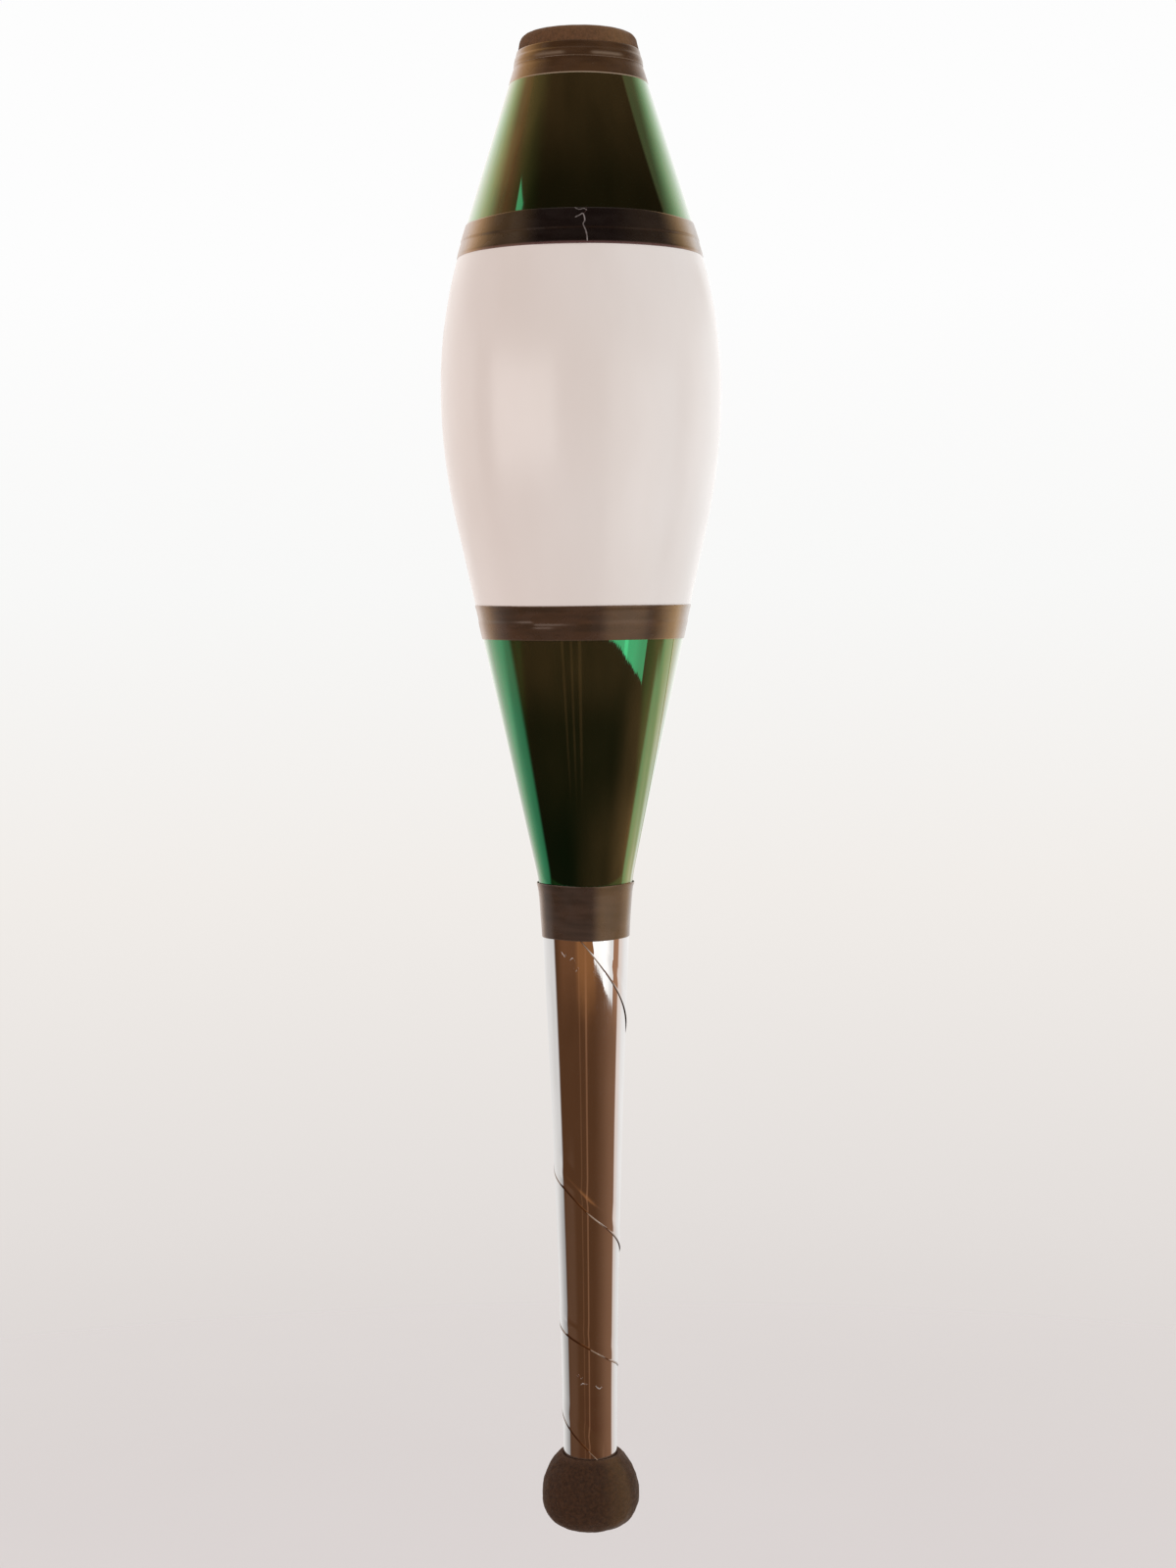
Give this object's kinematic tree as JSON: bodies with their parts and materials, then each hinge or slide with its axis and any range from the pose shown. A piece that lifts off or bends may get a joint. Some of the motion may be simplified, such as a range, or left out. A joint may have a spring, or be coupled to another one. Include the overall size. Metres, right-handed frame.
{
  "type": "juggling club",
  "caption": "Slim juggling club: hollow white body with green mirror foil on its cones, silver foil handle, black tape bands, dark foam knob and flat foam cap.",
  "frame": {"origin": "on the dowel's axis at the middle of the grip, where a hand closes round the handle", "axes": "+Z along the dowel's axis from the knob towards the cap; the club is round about Z, and +Y points away from the viewer of its front"},
  "size_m": [0.0962, 0.0962, 0.519],
  "materials": {
    "white_body": "satin",
    "green_mirror_foil": "polished",
    "silver_mirror_foil": "polished",
    "black_tape": "gloss",
    "collar_tape": "satin",
    "black_foam": "matte",
    "sleeve_plastic": "satin",
    "white_foam": "matte",
    "dark_plastic": "satin",
    "wood": "satin",
    "steel": "satin"
  },
  "bodies": {
    "root": {"knob_screw": "steel", "knob_washer": "steel", "knob": "black_foam", "handle_end_ring": "dark_plastic", "dowel": "wood", "handle_foam": "white_foam", "handle_sleeve": "sleeve_plastic", "handle_film": "silver_mirror_foil", "neck_bushing": "dark_plastic", "body_shell": "white_body", "lower_film": "green_mirror_foil", "upper_film": "green_mirror_foil", "lower_band_tape": "black_tape", "upper_band_tape": "black_tape", "neck_tape": "collar_tape", "top_disc": "dark_plastic", "top_cap": "black_foam", "cap_tape_lower": "black_tape", "cap_tape_upper": "black_tape", "cap_washer": "steel", "cap_screw": "steel"}
  },
  "joints": []
}
